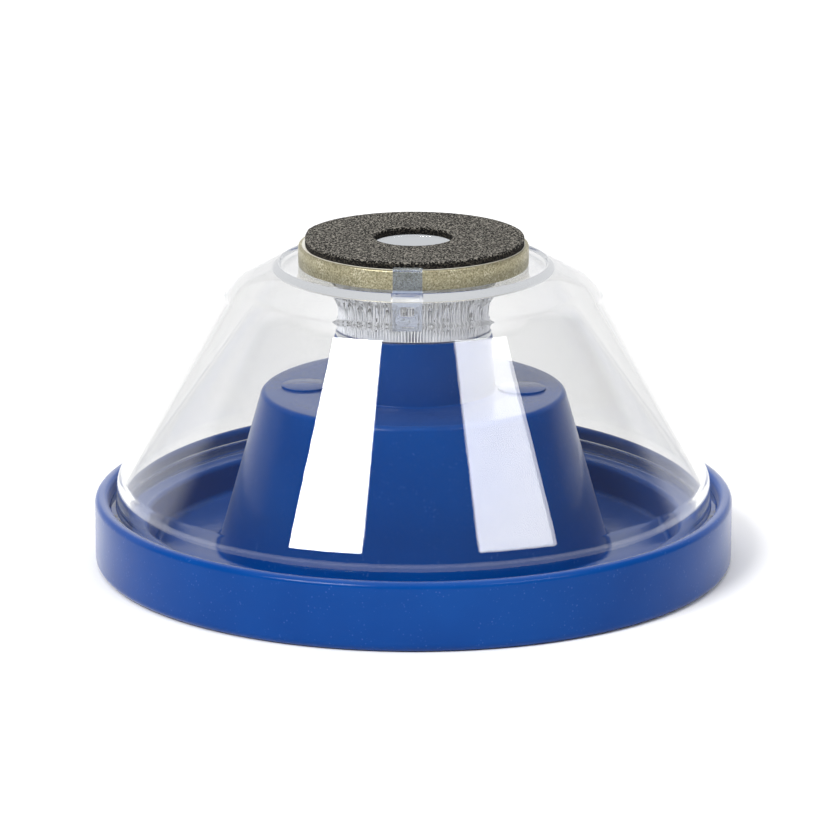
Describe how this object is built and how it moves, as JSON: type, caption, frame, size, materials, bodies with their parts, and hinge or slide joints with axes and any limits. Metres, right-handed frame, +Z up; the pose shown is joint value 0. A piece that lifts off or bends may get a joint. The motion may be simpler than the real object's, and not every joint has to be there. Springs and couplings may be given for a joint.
{
  "type": "drill dust collector bell",
  "caption": "Overhead drilling dust bell: clear conical dome with foam-faced metal ring, lifting off a round tray with a hollow cone and bristled chimney.",
  "frame": {"origin": "centre of the plane the tray stands on", "axes": "+Z up along the axis of the dome, -Y towards the first ring clip"},
  "size_m": [0.12, 0.12, 0.0623],
  "materials": {
    "blue_plastic": "glossy moulded, faint moulding texture",
    "clear_plastic": "clear, polished",
    "ring_metal": "speckled olive-gold plating",
    "film": "adhesive film",
    "foam": "open-cell foam",
    "clip_plastic": "clear, polished",
    "holder_plastic": "clear, faintly frosted",
    "bristle": "translucent nylon bristle"
  },
  "bodies": {
    "tray": {"base_tray": "blue_plastic", "brush_holder": "holder_plastic", "bristle_ring": "bristle"},
    "dome": {"dome_shell": "clear_plastic", "metal_ring": "ring_metal", "adhesive_film": "film", "foam_seal": "foam", "ring_clips": "clip_plastic"}
  },
  "joints": [
    {"name": "dome_lift", "type": "slide", "parent": "tray", "child": "dome", "axis": [0, 0, 1], "range_m": [0, 0.045]}
  ]
}
